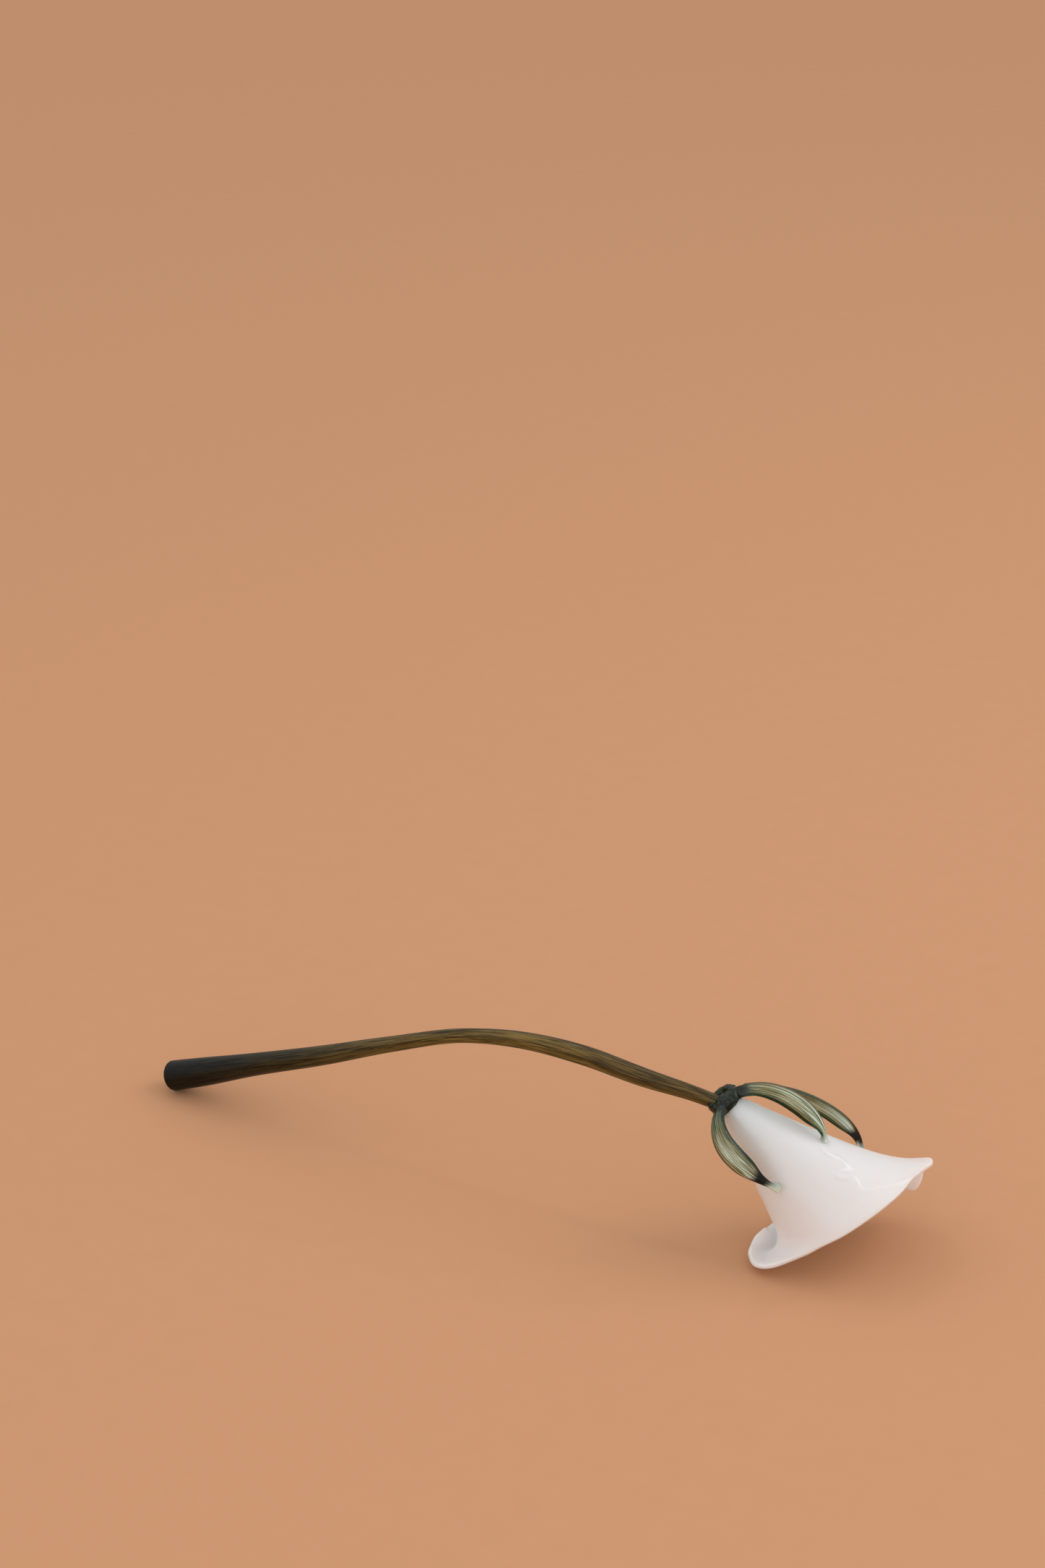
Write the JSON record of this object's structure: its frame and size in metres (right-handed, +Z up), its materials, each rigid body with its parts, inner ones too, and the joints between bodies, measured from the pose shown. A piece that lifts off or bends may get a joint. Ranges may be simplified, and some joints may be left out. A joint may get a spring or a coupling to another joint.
{
  "type": "glass calla lily",
  "caption": "Long-stemmed calla lily in hot-worked glass: a ribbed olive stem, green sepals drawn from a collar, and a white trumpet bloom that it lies on.",
  "frame": {"origin": "middle of the underside of the flower's box, on the surface that it lies on", "axes": "+X from the stem's end to the trumpet's mouth, +Z up from the surface, +Y to the side that the bloom turns to"},
  "size_m": [0.4516, 0.0988, 0.0945],
  "materials": {
    "olive_glass": "glossy, translucent, streaked lengthwise",
    "green_glass": "glossy, translucent",
    "opal_glass": "opal, satin with a fire-polished lip"
  },
  "bodies": {
    "root": {"stem": "olive_glass", "calyx": "green_glass", "bloom": "opal_glass"}
  },
  "joints": []
}
